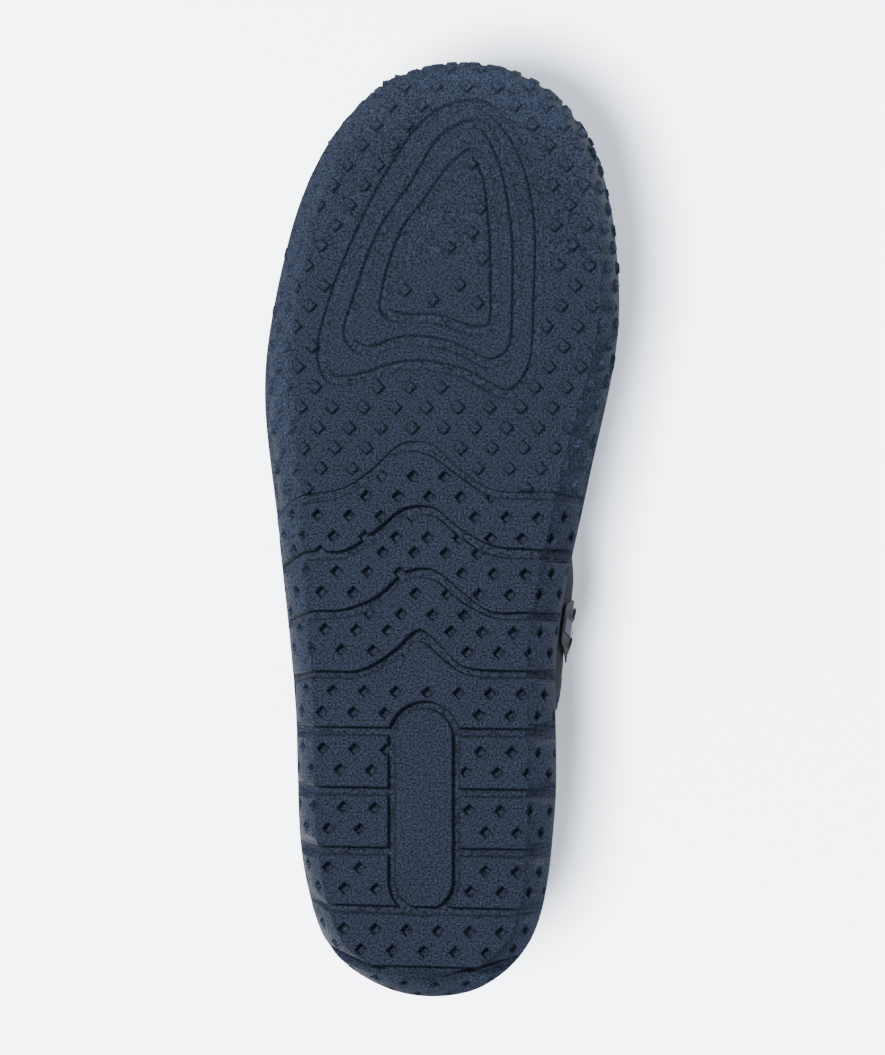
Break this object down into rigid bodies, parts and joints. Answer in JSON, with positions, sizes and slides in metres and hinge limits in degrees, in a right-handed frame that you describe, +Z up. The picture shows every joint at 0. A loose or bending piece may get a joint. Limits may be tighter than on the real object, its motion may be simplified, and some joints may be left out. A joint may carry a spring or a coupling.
{
  "type": "neoprene boot",
  "caption": "Right ankle boot of neoprene for water sports, with a moulded rubber sole with diamond studs, wavy channels and a heel pad, and a side zip.",
  "frame": {"origin": "on the ground, at the middle of the sole's length and width", "axes": "+Z up, +Y towards the toe, -X towards the inner (medial) side of this right boot"},
  "size_m": [0.1081, 0.285, 0.1668],
  "materials": {
    "sole_rubber": "matte, fine grain",
    "foam": "matte closed-cell foam",
    "neoprene": "knitted nylon over foam",
    "binding_tape": "woven tape",
    "zip_tape": "woven zip tape",
    "zip_plastic": "moulded acetal",
    "tab_tape": "smooth grey-blue tape"
  },
  "bodies": {
    "boot": {"outsole": "sole_rubber", "midsole": "foam", "sock_board": "neoprene", "insock": "foam", "vamp": "neoprene", "lateral_quarter": "neoprene", "medial_front_quarter": "neoprene", "medial_rear_quarter": "neoprene", "collar_binding": "binding_tape", "zip_gusset": "neoprene", "zip_tape_front": "zip_tape", "zip_tape_rear": "zip_tape", "zip_teeth_front": "zip_plastic", "zip_teeth_rear": "zip_plastic", "zip_top_stop_front": "zip_plastic", "zip_top_stop_rear": "zip_plastic", "zip_bottom_stop": "zip_plastic", "zip_end_tab": "tab_tape", "heel_pull_loop": "binding_tape", "fin_strap_ledge": "sole_rubber"},
    "zip_runner": {"zip_slider": "zip_plastic"},
    "zip_puller": {"zip_pull_link": "zip_plastic", "zip_pull_grip": "sole_rubber"}
  },
  "joints": [
    {"name": "zip_travel", "type": "slide", "parent": "boot", "child": "zip_runner", "axis": [-0.046, 0.2496, -0.9673], "range_m": [0, 0.099]},
    {"name": "zip_pull_swing", "type": "hinge", "parent": "zip_runner", "child": "zip_puller", "pos_m": [-0.03655, -0.06015, 0.14859], "axis": [-0.1341, 0.958, 0.2536], "range_deg": [0, 160]}
  ]
}
